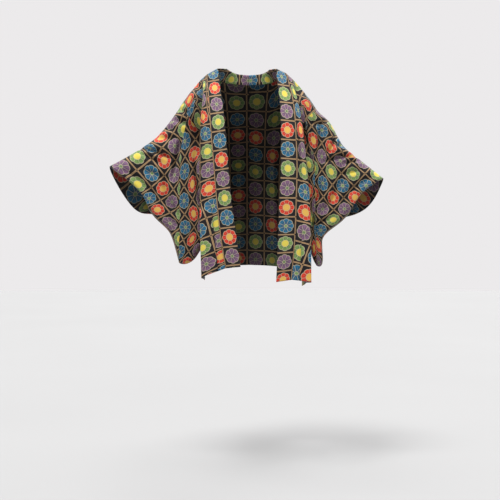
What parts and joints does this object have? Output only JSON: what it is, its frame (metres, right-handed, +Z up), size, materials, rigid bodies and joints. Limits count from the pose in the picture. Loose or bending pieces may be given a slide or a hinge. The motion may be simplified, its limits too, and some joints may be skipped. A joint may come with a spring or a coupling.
{
  "type": "haori jacket",
  "caption": "Open, hip-length kimono jacket with wide bag sleeves and a long folded collar, in the hollow form it takes when worn.",
  "frame": {"origin": "the nape: the point on the wearer's neck where the inner face of the collar rests at the centre back", "axes": "+X towards the wearer's left side, across the sleeves; +Y towards the wearer's back; +Z up"},
  "size_m": [0.9317, 0.4113, 0.746],
  "materials": {
    "right_body": "matt patterned silk",
    "left_body": "matt patterned silk",
    "right_sleeve": "matt patterned silk",
    "left_sleeve": "matt patterned silk",
    "right_gusset": "matt patterned silk",
    "left_gusset": "matt patterned silk",
    "collar": "matt patterned silk, folded double"
  },
  "bodies": {
    "root": {"body_right": "right_body", "body_left": "left_body", "sleeve_right": "right_sleeve", "sleeve_left": "left_sleeve", "gusset_right": "right_gusset", "gusset_left": "left_gusset", "collar": "collar"}
  },
  "joints": []
}
